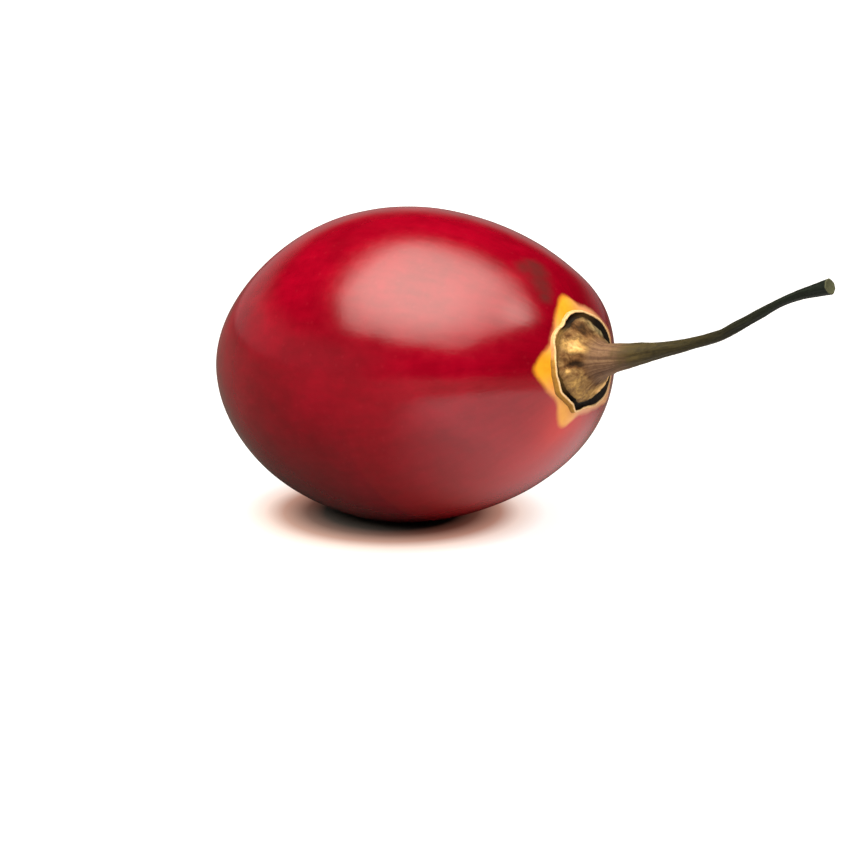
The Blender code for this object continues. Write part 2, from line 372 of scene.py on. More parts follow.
def skin_point(size, radius, angle):
    """Height on the axis of the skin at the stem end, at these radii and angles."""
    u = 1 - (np.arange(90) / 110) ** 2  # closest together at the very end
    made = np.empty(radius.shape)
    for column in range(radius.shape[1]):
        reach = fruit_radius(u, size.width) * fullness(u, angle[0, column])
        made[:, column] = np.interp(radius[:, column], reach, size.length / 2 * u)
    return made


def fruit_mesh(size, placement):
    """The fruit's skin as a closed mesh in its own frame, settled on the floor."""
    share = np.linspace(0, 1, FRUIT_RINGS + 1)[1:-1]
    slope = math.pi * (share - END_CROWDING * np.sin(math.tau * share))
    angle = np.arange(FRUIT_SIDES) * math.tau / FRUIT_SIDES
    u, angle = np.meshgrid(np.cos(slope), angle, indexing="ij")
    radius = fruit_radius(u, size.width) * fullness(u, angle)
    # Growth leaves the cross-section faintly lobed, and the skin faintly uneven.
    girth = np.sqrt(np.maximum(1 - u * u, 0))
    radius += MM * girth * OVALNESS * np.sin(2 * angle + 0.9)
    radius += MM * girth * LOBE_HEIGHT * np.sin(5 * angle + 0.4 + 2 * u)
    tip = np.where(u < 0, STYLE_TIP_RISE * hump(radius / STYLE_TIP_RADIUS), 0.0)
    height = size.length / 2 * u - tip
    points = np.stack((radius * np.cos(angle), radius * np.sin(angle), height), axis=-1)
    outward = points / np.linalg.norm(points, axis=-1, keepdims=True)
    points += outward * (MM * girth * ripples(points / MM, SKIN_WAVES))[..., None]
    settle(points, placement)
    mesh = lathe_mesh("ripe_skin", points)
    reach = np.hypot(points[..., 0], points[..., 1]) / MM
    margin = np.where(u > 0.2, reach - round_outline(STAR_OUTLINE, angle), OFF_STAR)
    store(mesh, "star_margin", margin, -8.0, OFF_STAR)
    store(mesh, "star_paleness", round_outline(STAR_OUTLINE, angle, 2, 6.0), 0.5, 0.5)
    blush_and_painted_light = sum(strength * hump(margin / fade) for strength, fade in BLUSH_FADES)
    store(mesh, "coppery_blush_and_painted_light", towards(angle, *BLUSH_SIDE) * blush_and_painted_light, 0.0, 0.0)
    rubbed = np.zeros_like(reach)
    for *place, spread in RUB_MARKS:
        away = np.linalg.norm(points / MM - np.array(place), axis=-1)
        rubbed = np.maximum(rubbed, hump(away / spread))
    store(mesh, "rubbed", rubbed, 0.0, 0.0)
    return mesh


def settle(points, placement):
    """Flattens whatever would lie below the floor, with a soft edge round the flat."""
    turn = np.array(placement.to_3x3())
    world = points @ turn.T + np.array(placement.translation)
    height = world[..., 2]
    world[..., 2] = 0.5 * (height + np.sqrt(height**2 + REST_SPOT_SOFTNESS**2))
    points[...] = (world - np.array(placement.translation)) @ turn


def calyx_mesh(size):
    """The dried calyx: puckered sepals that end in a gutter, and a thin raised rim round it."""
    turn = np.arange(CALYX_SIDES) * math.tau / CALYX_SIDES
    ring = np.stack((np.cos(turn), np.sin(turn), 0 * turn), axis=-1)[None]
    sepal, rim, crest, gutter = (round_outline(CALYX_OUTLINE, turn, i)[None] for i in (1, 2, 3, 4))
    sepal = sepal + ripples(ring * SEPAL_REACH, SEPAL_EDGE_WAVES)
    rim = rim + ripples(ring * RIM_REACH, RIM_EDGE_WAVES)
    crest = crest * (1 + ripples(ring * RIM_REACH, CREST_WAVES))
    sepal = np.minimum(sepal, rim - GUTTER_WIDTH)
    seam = sum(towards(turn, at, SEAM_SPREAD) for at in SEPAL_SEAMS)[None]

    # The sepals, from the middle out: a collar, folds that run outwards, and a rolled edge.
    share = np.linspace(0.02, 1.0, 60)[:, None]
    radius = share * sepal
    place = ring * radius[..., None]
    height = np.interp(radius, *zip(*SEPAL_SLOPE))
    outer = smooth(radius / COLLAR_RADIUS - 1)
    height -= SEAM_DEPTH * seam * outer
    for much, around, along, seed in SEPAL_FOLDS:
        fold = ripple(ring * around + np.array([0, 0, along]) * share[..., None], 1.0, seed)
        height += outer * much * fold
    height += outer * ripples(place, SEPAL_LUMPS)
    height -= EDGE_ROLL * smooth((share - 0.9) / 0.1) * (0.4 + gutter)

    # Down over the sepals' edge, across the gutter, and up the inside of the rim.
    across = np.linspace(0, 1, 21)[1:, None]
    inner_rim = rim - RIM_THICKNESS
    gutter_radius = sepal + across * (inner_rim - sepal)
    floor = GUTTER_FLOOR - GUTTER_DEPTH * gutter
    down, rise = smooth(across / 0.34), smooth((across - 0.62) / 0.38)
    gutter_height = height[-1:] + (floor - height[-1:]) * down + (crest - floor) * rise

    # Over the crest, down the rim's outside, and back under the calyx.
    beyond = np.linspace(0, 1, 11)[1:, None]
    outside_radius = inner_rim + RIM_THICKNESS * np.minimum(beyond / 0.2, 1)
    outside_radius = outside_radius + RIM_FLARE * smooth((beyond - 0.2) / 0.8)
    outside = crest + (RIM_FOOT - crest) * smooth((beyond - 0.12) / 0.88)
    under_share = np.array([0.98, 0.85, 0.5, 0.1])[:, None]

    radii = np.concatenate((radius, gutter_radius, outside_radius, under_share * rim))
    under = UNDERSIDE + 0 * under_share * rim
    heights = np.concatenate((np.maximum(height, LOWEST_SEPAL), gutter_height, outside, under))
    zone = np.concatenate((share, 1 + across, 2 + beyond, 3 + 0 * under_share)) / 3 + 0 * radii
    mesh = lathe_mesh("dried_calyx", lay_on_skin(size, radii, turn[None] + 0 * radii, heights))
    tone = np.full_like(radii, 0.5)
    for at, reach, spread, much in SEPAL_PATCHES:
        at = math.radians(at)
        away = (radii * np.cos(turn) - reach * math.cos(at)) ** 2
        away += (radii * np.sin(turn) - reach * math.sin(at)) ** 2
        tone += much * np.exp(-away / spread**2)
    tone[: len(share)] += smooth((share - 0.68) / 0.13) * towards(turn, *PALE_EDGE)
    grey = smooth((radii - 3.0) / 1.5) * towards(turn, *GREY_EDGE)
    store(mesh, "calyx_zone", zone, 0.0, 1.0)
    store(mesh, "sepal_tone", tone, 0.5, 0.5)
    store(mesh, "weathered", grey, 0.0, 0.0)
    store(mesh, "gutter_depth", gutter + 0 * radii, 1.0, 1.0)
    store(mesh, "rim_height", crest + 0 * radii, 0.5, 0.5)
    store(mesh, "calyx_reach", radii, 0.0, 0.0)
    return mesh


def smooth(t):
    """A soft step from 0 to 1 as t does."""
    t = np.clip(t, 0, 1)
    return t * t * (3 - 2 * t)


def lay_on_skin(size, radius, angle, height):
    """Points at these radii, angles and heights in mm over the skin at the stem end."""
    along = skin_point(size, radius * MM, angle) + height * MM
    return np.stack((radius * MM * np.cos(angle), radius * MM * np.sin(angle), along), axis=-1)


def smooth_route():
    """Points along the middle of the stem, with the radius as a fourth number, in metres."""
    route = [np.array(row) * MM for row in STEM_ROUTE]
    route = [2 * route[0] - route[1], *route, 2 * route[-1] - route[-2]]
    points = []
    for before, start, stop, after in zip(route, route[1:], route[2:], route[3:]):
        for step in range(STEM_STEPS_PER_SPAN):
            t = step / STEM_STEPS_PER_SPAN
            bend = t**2 * (2 * before - 5 * start + 4 * stop - after)
            twist = t**3 * (3 * start - before - 3 * stop + after)
            points.append(0.5 * (2 * start + t * (stop - before) + bend + twist))
    points.append(route[-2])
    return np.array(points)


def stem_mesh():
    """The stem: a ribbed, crinkled stalk with a flared foot and a cut end."""
    route = smooth_route()
    middle = np.stack((-route[:, 2], route[:, 1], route[:, 0]), axis=-1)
    radius = route[:, 3]
    heading = np.gradient(middle, axis=0)
    heading /= np.linalg.norm(heading, axis=1)[:, None]
    travelled = np.append(0, np.cumsum(np.linalg.norm(np.diff(middle, axis=0), axis=1)))
    inset, forward = np.array(CUT_END).T
    middle = np.append(middle, middle[-1] + MM * forward[:, None] * heading[-1], axis=0)
    radius = np.append(radius, radius[-1] * inset)
    travelled = np.append(travelled, travelled[-1] + np.arange(1, len(inset) + 1) * 0.05 * MM)
    heading = np.append(heading, np.repeat(heading[-1:], len(inset), axis=0), axis=0)
    side = np.cross(heading, np.array((1.0, 0.0, 0.0)))
    side /= np.linalg.norm(side, axis=1)[:, None]
    front = np.cross(side, heading)
    turn = np.arange(STEM_SIDES) * math.tau / STEM_SIDES
    s, turn = np.meshgrid(travelled, turn, indexing="ij")
    across, up = STRAIGHT_RADIUS * np.cos(turn), STRAIGHT_RADIUS * np.sin(turn)
    # The foot is smooth, fine ribs start above it, and then the bark is crinkled as well.
    ribs = RIB_HEIGHT * np.sin(RIBS * turn + 0.25 * s / MM) * smooth((s / MM - 2.0) / 3.0)
    crinkles = sum(
        much * ripple(np.stack((across, up, s / MM * steps), axis=-1), size, seed)
        for much, steps, size, seed in CRINKLES
    )
    crinkles *= smooth((s / MM - 2.5) / 5.0)
    reach = radius[:, None] * (1 + ribs + crinkles)
    spin = np.cos(turn)[..., None] * side[:, None, :] + np.sin(turn)[..., None] * front[:, None, :]
    mesh = lathe_mesh("woody_stem", middle[:, None, :] + spin * reach[..., None])
    cut = np.zeros(s.shape)
    cut[-len(inset) :] = 1.0
    store(mesh, "stem_way", s / MM, 0.0, travelled[-1] / MM)
    store(mesh, "cut_face", cut, 0.0, 1.0)
    store(mesh, "bark_across", across, 0.0, 0.0)
    store(mesh, "bark_up", up, 0.0, 0.0)
    return mesh


def round_the_axis(tree):
    """The place in the fruit's frame, the height on its axis, and the direction round it."""
    place = add_node(tree, "Attribute", attribute_name="fruit_frame").outputs["Vector"]
    split = add_node(tree, "SeparateXYZ", {"Vector": place})
    level = add_node(tree, "CombineXYZ", {"X": split.outputs["X"], "Y": split.outputs["Y"]})
    spoke = add_node(tree, "VectorMath", {0: level}, operation="NORMALIZE")
    return place, split.outputs["Z"], spoke


def ripe_skin_material(look):
    """Waxy fruit skin: a smooth cuticle over deep red flesh, so it shines softly and evenly."""
    material, tree = new_material("waxed_tamarillo_skin")
    blush_and_painted_light, rubbed, star, paleness = (
        add_node(tree, "Attribute", attribute_name=name).outputs["Fac"]
        for name in ("coppery_blush_and_painted_light", "rubbed", "star_margin", "star_paleness")
    )
    place, height, spoke = round_the_axis(tree)
    # Streaks run lengthwise, about 1.5 mm apart at the waist and 4.5 mm long.
    lengthwise = add_node(tree, "Math", {0: height, 1: 14.0}, operation="MULTIPLY")
    spoke_parts = add_node(tree, "SeparateXYZ", {"Vector": spoke})
    streak_place = add_node(
        tree, "CombineXYZ",
        {"X": spoke_parts.outputs["X"], "Y": spoke_parts.outputs["Y"], "Z": lengthwise},
    )
    streaks = add_node(
        tree, "TexNoise", {"Vector": streak_place, "Scale": 16.0, "Detail": 4.0, "Roughness": 0.6}
    )
    # Ripening is uneven over patches of about 12 mm.
    patches = add_node(
        tree, "TexNoise",
        {"Vector": place, "Scale": 80.0, "Detail": 3.0, "Roughness": 0.5, "Distortion": 0.4},
    )
    # Finer mottling is about 2 mm across.
    mottle = add_node(
        tree, "TexNoise", {"Vector": place, "Scale": 420.0, "Detail": 5.0, "Roughness": 0.62}
    )
    patch_ramp = add_node(
        tree, "ValToRGB", {"Fac": patches},
        stops=((0.3, "#780013"), (0.52, look.ripe_colour), (0.74, "#8c001a")),
    )
    streak_ramp = add_node(
        tree, "ValToRGB", {"Fac": streaks}, stops=((0.35, (0.74, 0.74, 0.74, 1)), (0.65, "#ffffff"))
    )
    red = add_node(tree, "Mix", {0: 0.5, 6: patch_ramp, 7: streak_ramp}, **DARKENED)
    mottle_ramp = add_node(
        tree, "ValToRGB", {"Fac": mottle}, stops=((0.36, (0.76, 0.72, 0.74, 1)), (0.6, "#ffffff"))
    )
    red = add_node(tree, "Mix", {0: 0.45, 6: red, 7: mottle_ramp}, **DARKENED)
    # Pale breathing pores are 0.2 mm, drawn at 0.45 mm so that they show.
    pores = add_node(tree, "TexVoronoi", {"Vector": place, "Scale": 620.0})
    pore_mask = add_node(
        tree, "MapRange", {"Value": pores, 1: 0.08, 2: 0.2, 3: 0.07, 4: 0.0}, **SOFT_STEP
    )
    red = add_node(tree, "Mix", {0: pore_mask, 6: red, 7: "#a0303a"}, **COLOURS)
    # Below the calyx the red gives way to a coppery blush, and lower down to a broader lighter red
    # that is painted light.
    red = add_node(tree, "Mix", {0: blush_and_painted_light, 6: red, 7: "#d42c22"}, **COLOURS)
    # A rubbed mark on the shoulder is brown, mottled and duller than the skin round it.
    rub_rough = add_node(tree, "Math", {0: mottle, 1: 0.8, 2: rubbed}, **SCALED_SUM)
    rub_mask = add_node(
        tree, "MapRange", {"Value": rub_rough, 1: 0.55, 2: 1.6, 3: 0.0, 4: 0.85}, **SOFT_STEP
    )
    red = add_node(tree, "Mix", {0: rub_mask, 6: red, 7: "#4c1e1d"}, **COLOURS)
    # The star that the calyx shaded stays unripe orange, paler at its rim, with a blurred edge.
    ragged = add_node(tree, "Math", {0: mottle, 1: 0.9, 2: star}, **SCALED_SUM)
    star_mask = add_node(
        tree, "MapRange", {"Value": ragged, 1: -0.25, 2: 0.8, 3: 1.0, 4: 0.0}, **SOFT_STEP
    )
    star_colour = add_node(
        tree, "Mix", {0: paleness, 6: look.unripe_colour, 7: "#e8a97a"}, **COLOURS
    )
    star_ramp = add_node(
        tree, "ValToRGB", {"Fac": mottle}, stops=((0.35, (0.86, 0.72, 0.7, 1)), (0.6, "#ffffff"))
    )
    star_colour = add_node(tree, "Mix", {0: 0.7, 6: star_colour, 7: star_ramp}, **DARKENED)
    colour = add_node(tree, "Mix", {0: star_mask, 6: red, 7: star_colour}, **COLOURS)
    # The style's scar is a dot of brown cork at the tip.
    tip = (0.0, 0.0, -look.length / 2 - STYLE_TIP_RISE)
    scar_away = add_node(tree, "VectorMath", {0: place, 1: tip}, operation="DISTANCE")
    scar_mask = add_node(
        tree, "MapRange", {"Value": scar_away, 1: 0.7 * MM, 2: 1.5 * MM, 3: 0.9, 4: 0.0},
        **SOFT_STEP,
    )
    colour = add_node(tree, "Mix", {0: scar_mask, 6: colour, 7: "#3b2412"}, **COLOURS)
    # The wax is a little duller here and there, and more so on the rubbed mark.
    sheen = add_node(tree, "MapRange", {"Value": mottle, 1: 0.3, 2: 0.7, 3: 0.13, 4: 0.19})
    dull = add_node(tree, "Math", {0: rub_mask, 1: 0.08, 2: sheen}, **SCALED_SUM)
    relief = add_node(tree, "Math", {0: streaks, 1: 0.5, 2: mottle}, **SCALED_SUM)
    bump = add_node(tree, "Bump", {"Height": relief, "Strength": 0.1, "Distance": 0.2 * MM})
    shader = add_node(
        tree, "BsdfPrincipled",
        {"Base Color": colour, "Roughness": dull, "IOR": 1.45, "Normal": bump},
    )
    add_node(tree, "OutputMaterial", {"Surface": shader})
    return material


def thick_tissue(tree):
    """Place, veins and fibres of the dried tissue, and its mauve brown close to the stem.

    The calyx and the stem's foot both draw it, so that the two look grown together.
    """
    place, _, spoke = round_the_axis(tree)
    # Veins run out from the stem, about a millimetre apart at the sepals' edge.
    veins = add_node(
        tree, "TexNoise", {"Vector": spoke, "Scale": 6.0, "Detail": 4.0, "Roughness": 0.62}
    )
    # Fibres are 0.2 mm, drawn at 0.45 mm so that they show.
    fibres = add_node(
        tree, "TexNoise", {"Vector": place, "Scale": 2200.0, "Detail": 4.0, "Roughness": 0.65}
    )
    mauve = add_node(
        tree, "ValToRGB", {"Fac": veins},
        stops=((0.25, "#463023"), (0.5, "#6b4f3b"), (0.75, "#86694c")),
    )
    return place, veins, fibres, mauve


def fibrous(tree, fibres, colour):
    """A colour darkened between the fibres."""
    fibre_ramp = add_node(
        tree, "ValToRGB", {"Fac": fibres}, stops=((0.36, (0.55, 0.5, 0.44, 1)), (0.6, "#ffffff"))
    )
    return add_node(tree, "Mix", {0: 0.5, 6: colour, 7: fibre_ramp}, **DARKENED)


def dried_sepal_material(look):
    """Dried calyx tissue: papery and matt, tan where it is thick, and painted near black in its
    gutter as shade.
    """
    material, tree = new_material("dried_sepal")
    zone, gutter, rim_height, tone, reach, weathered = (
        add_node(tree, "Attribute", attribute_name=name).outputs["Fac"]
        for name in "calyx_zone gutter_depth rim_height sepal_tone calyx_reach weathered".split()
    )
    place, veins, fibres, mauve = thick_tissue(tree)
    # Blotches are about 1.5 mm across.
    blotches = add_node(
        tree, "TexNoise",
        {"Vector": place, "Scale": 700.0, "Detail": 4.0, "Roughness": 0.6, "Distortion": 0.8},
    )
    blotched = add_node(tree, "Math", {0: blotches, 1: 0.95, 2: tone}, **SCALED_SUM)
    veined = add_node(tree, "Math", {0: veins, 1: 0.35, 2: blotched}, **SCALED_SUM)
    dryness = add_node(tree, "MapRange", {"Value": veined, 1: 0.65, 2: 1.65})
    sepals = add_node(
        tree, "ValToRGB", {"Fac": dryness},
        stops=(
            (0.06, "#2a1908"), (0.24, "#503319"), (0.4, "#704e2d"), (0.54, "#8c6b42"),
            (0.68, look.sepal_colour), (0.84, "#d0a264"), (1.0, "#edbe7e"),
        ),
    )
    grey = add_node(
        tree, "ValToRGB", {"Fac": dryness},
        stops=((0.2, "#33301f"), (0.5, "#67664e"), (0.8, "#8c8566")),
    )
    sepals = add_node(tree, "Mix", {0: weathered, 6: sepals, 7: grey}, **COLOURS)
    # Close to the stem the tissue is thick and dried to a mauve brown.
    near_stem = add_node(tree, "MapRange", {"Value": reach, 1: 3.8, 2: 2.5}, **SOFT_STEP)
    sepals = add_node(tree, "Mix", {0: near_stem, 6: sepals, 7: mauve}, **COLOURS)
    wander = add_node(tree, "Math", {0: fibres, 1: 0.02, 2: zone}, **SCALED_SUM)
    # By zone: sepal up to a third, gutter to two thirds, then the rim's crest and outside.
    shallow_gutter = add_node(
        tree, "ValToRGB", {"Fac": wander},
        stops=((0.38, "#6d5026"), (0.55, "#85632f"), (0.63, "#a07a46")),
    )
    # Painted shade: the deeper the gutter, the nearer its colour comes to black.
    painted_gutter_shade = add_node(tree, "Mix", {0: gutter, 6: shallow_gutter, 7: "#120902"}, **COLOURS)
    # Where it stands up the rim is olive brown outside, darker towards its foot, partly as painted
    # shade under the crest, and where it lies flat it is peach.
    tall_rim = add_node(
        tree, "ValToRGB", {"Fac": wander},
        stops=(
            (0.665, "#d9ae78"), (0.685, "#f2cb98"), (0.745, "#e6bc86"), (0.775, "#a97d36"),
            (0.9, "#936a2e"), (1.0, "#6a481f"),
        ),
    )
    flat_rim = add_node(
        tree, "ValToRGB", {"Fac": wander},
        stops=((0.665, "#d9ae78"), (0.7, "#f2cb98"), (0.8, "#d89a68")),
    )
    tall = add_node(tree, "MapRange", {"Value": rim_height, 1: 0.48, 2: 0.68})
    outside = add_node(tree, "Mix", {0: tall, 6: flat_rim, 7: tall_rim}, **COLOURS)
    past_gutter = add_node(tree, "MapRange", {"Value": wander, 1: 0.64, 2: 0.665})
    rim = add_node(tree, "Mix", {0: past_gutter, 6: painted_gutter_shade, 7: outside}, **COLOURS)
    off_sepal = add_node(tree, "MapRange", {"Value": wander, 1: 0.325, 2: 0.365})
    zoned = add_node(tree, "Mix", {0: off_sepal, 6: sepals, 7: rim}, **COLOURS)
    colour = fibrous(tree, fibres, zoned)
    rough = add_node(tree, "MapRange", {"Value": fibres, 1: 0.3, 2: 0.7, 3: 0.66, 4: 0.88})
    relief = add_node(tree, "Math", {0: veins, 1: 1.6, 2: fibres}, **SCALED_SUM)
    bump = add_node(tree, "Bump", {"Height": relief, "Strength": 0.5, "Distance": 0.15 * MM})
    shader = add_node(
        tree, "BsdfPrincipled",
        {
            "Base Color": colour, "Roughness": rough, "IOR": 1.45, "Specular IOR Level": 0.15,
            "Normal": bump,
        },
    )
    add_node(tree, "OutputMaterial", {"Surface": shader})
    return material


def woody_stem_material(look):
    """Thin bark on a green stalk: matt, ribbed, tan at the foot and nearly black at the end."""
    material, tree = new_material("woody_stem_bark")
    way, across, up, cut = (
        add_node(tree, "Attribute", attribute_name=name).outputs["Fac"]
        for name in ("stem_way", "bark_across", "bark_up", "cut_face")
    )
    straight = add_node(tree, "CombineXYZ", {"X": across, "Y": up, "Z": way})
    stretched = add_node(
        tree, "VectorMath", {0: straight, 1: (1.0, 1.0, 0.12)}, operation="MULTIPLY"
    )
    # Bark fibres are 0.2 mm wide, drawn at 0.4 mm so that they show, and run lengthwise.
    grain = add_node(
        tree, "TexNoise", {"Vector": stretched, "Scale": 2.6, "Detail": 5.0, "Roughness": 0.65}
    )
    # Flecks are about 0.8 mm across.
    flecks = add_node(
        tree, "TexNoise", {"Vector": straight, "Scale": 1.3, "Detail": 4.0, "Roughness": 0.6}
    )
    wander = add_node(tree, "Math", {0: flecks, 1: 4.0, 2: way}, **SCALED_SUM)
    share = add_node(tree, "MapRange", {"Value": wander, 1: 2.0, 2: 46.0})
    lengthwise = add_node(
        tree, "ValToRGB", {"Fac": share},
        stops=(
            (0.09, "#4f3f27"), (0.17, "#3d331b"), (0.27, "#322c17"), (0.42, look.bark_colour),
            (0.56, "#1b1c10"), (0.8, "#111911"), (1.0, "#0a110c"),
        ),
    )
    flecked = add_node(tree, "Math", {0: flecks, 1: 0.7, 2: grain}, **SCALED_SUM)
    grain_ramp = add_node(
        tree, "ValToRGB", {"Fac": flecked},
        stops=(
            (0.64, (0.42, 0.39, 0.36, 1)), (0.86, (0.92, 0.91, 0.89, 1)), (1.0, (1.35, 1.3, 1.2, 1))
        ),
    )
    barky = add_node(tree, "Mix", {0: 0.8, 6: lengthwise, 7: grain_ramp}, **DARKENED)
    # The foot is the calyx's own tissue, which turns to bark over a few millimetres.
    _, _, fibres, mauve = thick_tissue(tree)
    foot = fibrous(tree, fibres, mauve)
    off_foot = add_node(tree, "MapRange", {"Value": wander, 1: 4.5, 2: 9.0}, **SOFT_STEP)
    barky = add_node(tree, "Mix", {0: off_foot, 6: foot, 7: barky}, **COLOURS)
    colour = add_node(tree, "Mix", {0: cut, 6: barky, 7: "#545540"}, **COLOURS)
    rough = add_node(tree, "MapRange", {"Value": grain, 1: 0.3, 2: 0.7, 3: 0.58, 4: 0.82})
    bump = add_node(tree, "Bump", {"Height": grain, "Strength": 0.6, "Distance": 0.2 * MM})
    shader = add_node(
        tree, "BsdfPrincipled",
        {
            "Base Color": colour, "Roughness": rough, "IOR": 1.5, "Specular IOR Level": 0.15,
            "Normal": bump,
        },
    )
    add_node(tree, "OutputMaterial", {"Surface": shader})
    return material


def painted_shadow_floor_material():
    """Glowing white floor, matt like opal acrylic on a light table, with a painted contact shadow:
    its glow is masked under the fruit.

    The painted shadow's soft edge is warm, a painted bounce of light from the red skin.
    """
    material, tree = new_material("glowing_floor_painted_shadow")
    place = add_node(tree, "TexCoord").outputs["Object"]
    away = add_node(tree, "VectorMath", {0: place}, operation="LENGTH")
    # Painted contact shadow: the glow is black close round the rest spot, warm at its edge as
    # painted red bounce, and white beyond.
    near = add_node(tree, "MapRange", {"Value": away, 2: PAINTED_SHADOW_RADIUS})
    glow = add_node(
        tree, "ValToRGB", {"Fac": near},
        stops=(
            (0.26, "#000000"), (0.33, (0.09, 0.03, 0.02, 1)), (0.42, (0.4, 0.2, 0.15, 1)),
            (0.5, (0.82, 0.64, 0.57, 1)), (0.6, (0.99, 0.92, 0.89, 1)), (0.8, (1.0, 0.99, 0.98, 1)),
        ),
    )
    edge_glow = add_node(
        tree, "MapRange", {"Value": away, 1: 0.1, 2: 0.5, 3: 0.0, 4: 0.5}, **SOFT_STEP
    )
    # Painted light: to all but camera rays the floor glows mostly beside the fruit's stem end, and
    # lights the fruit from there.
    along = add_node(tree, "SeparateXYZ", {"Vector": place}).outputs["X"]
    stem_side = add_node(
        tree, "MapRange", {"Value": along, 1: 0.01, 2: 0.042, 3: 0.0, 4: 1.28}, **SOFT_STEP
    )
    beside = add_node(tree, "VectorMath", {0: place, 1: STEM_GLOW_AT}, operation="DISTANCE")
    close = add_node(
        tree, "MapRange", {"Value": beside, 1: 0.05, 2: 0.105, 3: 1.0, 4: 0.04}, **SOFT_STEP
    )
    painted_light_patch = add_node(tree, "Math", {0: stem_side, 1: close}, operation="MULTIPLY")
    seen = add_node(tree, "LightPath").outputs["Is Camera Ray"]
    seen_glow = add_node(tree, "Math", {0: edge_glow, 1: 1.05}, operation="ADD")
    strength = add_node(tree, "Mix", {0: seen, 2: painted_light_patch, 3: seen_glow}, data_type="FLOAT")
    # Faint clouding of about 17 mm, as in any matt sheet.
    haze = add_node(tree, "TexNoise", {"Vector": place, "Scale": 60.0, "Detail": 3.0})
    tint = add_node(tree, "ValToRGB", {"Fac": haze}, stops=((0.3, "#68635f"), (0.7, "#6d6864")))
    # Painted shade: beside its tip the floor is darker to all but camera rays, so the fruit gets
    # less light back from it.
    tip_side = add_node(tree, "MapRange", {"Value": along, 1: -0.02, 2: 0.035, 3: 0.5, 4: 1.0})
    given_back = add_node(tree, "Mix", {0: seen, 2: tip_side, 3: 1.0}, data_type="FLOAT")
    shade = add_node(tree, "VectorMath", {0: tint, "Scale": given_back}, operation="SCALE")
    shader = add_node(
        tree, "BsdfPrincipled",
        {
            "Base Color": shade, "Roughness": 0.8, "Specular IOR Level": 0.2,
            "Emission Color": glow, "Emission Strength": strength,
        },
    )
    add_node(tree, "OutputMaterial", {"Surface": shader})
    return material


def studio_world():
    """A dark room with a low white backdrop behind the fruit; plain white where it is seen."""
    world = bpy.data.worlds.new("studio_room")
    world.use_nodes = True
    tree = world.node_tree
    tree.nodes.clear()
    heading = add_node(tree, "TexCoord").outputs["Generated"]
    height = add_node(tree, "SeparateXYZ", {"Vector": heading}).outputs["Z"]
    # The backdrop stands behind the fruit and to its tip's side.
    round_to = CAMERA_AZIMUTH + BACKDROP_TURN
    opposite = (math.sin(round_to), -math.cos(round_to), 0.0)
    facing = add_node(tree, "VectorMath", {0: heading, 1: opposite}, operation="DOT_PRODUCT")
    low = add_node(
        tree, "MapRange", {"Value": height, 1: 0.16, 2: 0.4, 3: 1.0, 4: 0.0}, **SOFT_STEP
    )
    behind = add_node(
        tree, "MapRange", {"Value": facing, 1: -0.35, 2: 0.25, 3: 1.0, 4: 0.0}, **SOFT_STEP
    )
    backdrop = add_node(tree, "Math", {0: low, 1: behind}, operation="MULTIPLY")
    room = add_node(
        tree, "Mix", {0: backdrop, 6: (0.005, 0.005, 0.005, 1), 7: (0.32, 0.3, 0.28, 1)}, **COLOURS
    )
    seen = add_node(tree, "LightPath").outputs["Is Camera Ray"]
    colour = add_node(tree, "Mix", {0: seen, 6: room, 7: "#ffffff"}, **COLOURS)
    shader = add_node(tree, "Background", {"Color": colour})
    add_node(tree, "OutputWorld", {"Surface": shader})
    return world


class TamarilloFruitSettings(bpy.types.PropertyGroup):
    """Sizes and colours of the fruit."""

    length: FloatProperty(
        name="Length", description="From the blossom end to the stem end, without the stem",
        default=70.0 * MM, min=0.04, max=0.1, unit="LENGTH",
    )
    width: FloatProperty(
        name="Width", description="Across the thickest part", default=48.0 * MM, min=0.03, max=0.07,
        unit="LENGTH",
    )
    ripe_colour: FloatVectorProperty(
        name="Ripe skin", description="Main colour of the ripe skin", default=linear("#850017"),
        **COLOUR_PICKER,
    )
    unripe_colour: FloatVectorProperty(
        name="Unripe star", description="Colour of the star left on the skin round the calyx",
        default=linear("#e89f24"), **COLOUR_PICKER,
    )


class TamarilloCalyxSettings(bpy.types.PropertyGroup):
    """Colour of the calyx."""

    sepal_colour: FloatVectorProperty(
        name="Sepals", description="Main colour of the dried sepals", default=linear("#aa854c"),
        **COLOUR_PICKER,
    )


class TamarilloStemSettings(bpy.types.PropertyGroup):
    """Colour of the stem."""

    bark_colour: FloatVectorProperty(
        name="Bark", description="Colour of the bark halfway along the stem",
        default=linear("#292410"), **COLOUR_PICKER,
    )


class TamarilloStageSettings(bpy.types.PropertyGroup):
    """Light and floor of the stage."""

    floor_radius: FloatProperty(
        name="Floor radius", description="Radius of the table top", default=3.0, min=0.5, max=10,
        unit="LENGTH",
    )
    softbox_height: FloatProperty(
        name="Softbox height", description="Height of the overhead softbox over the floor",
        default=1.2, min=0.4, max=4, unit="LENGTH",
    )
    softbox_power: FloatProperty(
        name="Softbox power", description="Power of the overhead softbox", default=244.0, min=0,
        max=2000, unit="POWER",
    )


class TAMARILLO_OT_fruit(bpy.types.Operator):
    """Builds the fruit's skin over the CAD fruit"""

    bl_idname = "tamarillo.fruit"
    bl_label = "Build fruit"

    def execute(self, context):
        settings = context.scene.tamarillo_fruit
        placement = fruit_placement(settings)
        mesh = fruit_mesh(settings, placement)
        skin = placed("fruit_skin", mesh, placement, ripe_skin_material(settings))
        dress(skin, "fruit")
        return {"FINISHED"}


class TAMARILLO_OT_calyx(bpy.types.Operator):
    """Builds the dried calyx on the stem end of the fruit"""

    bl_idname = "tamarillo.calyx"
    bl_label = "Build calyx"

    def execute(self, context):
        size = context.scene.tamarillo_fruit
        mesh = calyx_mesh(size)
        material = dried_sepal_material(context.scene.tamarillo_calyx)
        calyx = placed("calyx_dish", mesh, fruit_placement(size), material)
        dress(calyx, "calyx")
        return {"FINISHED"}


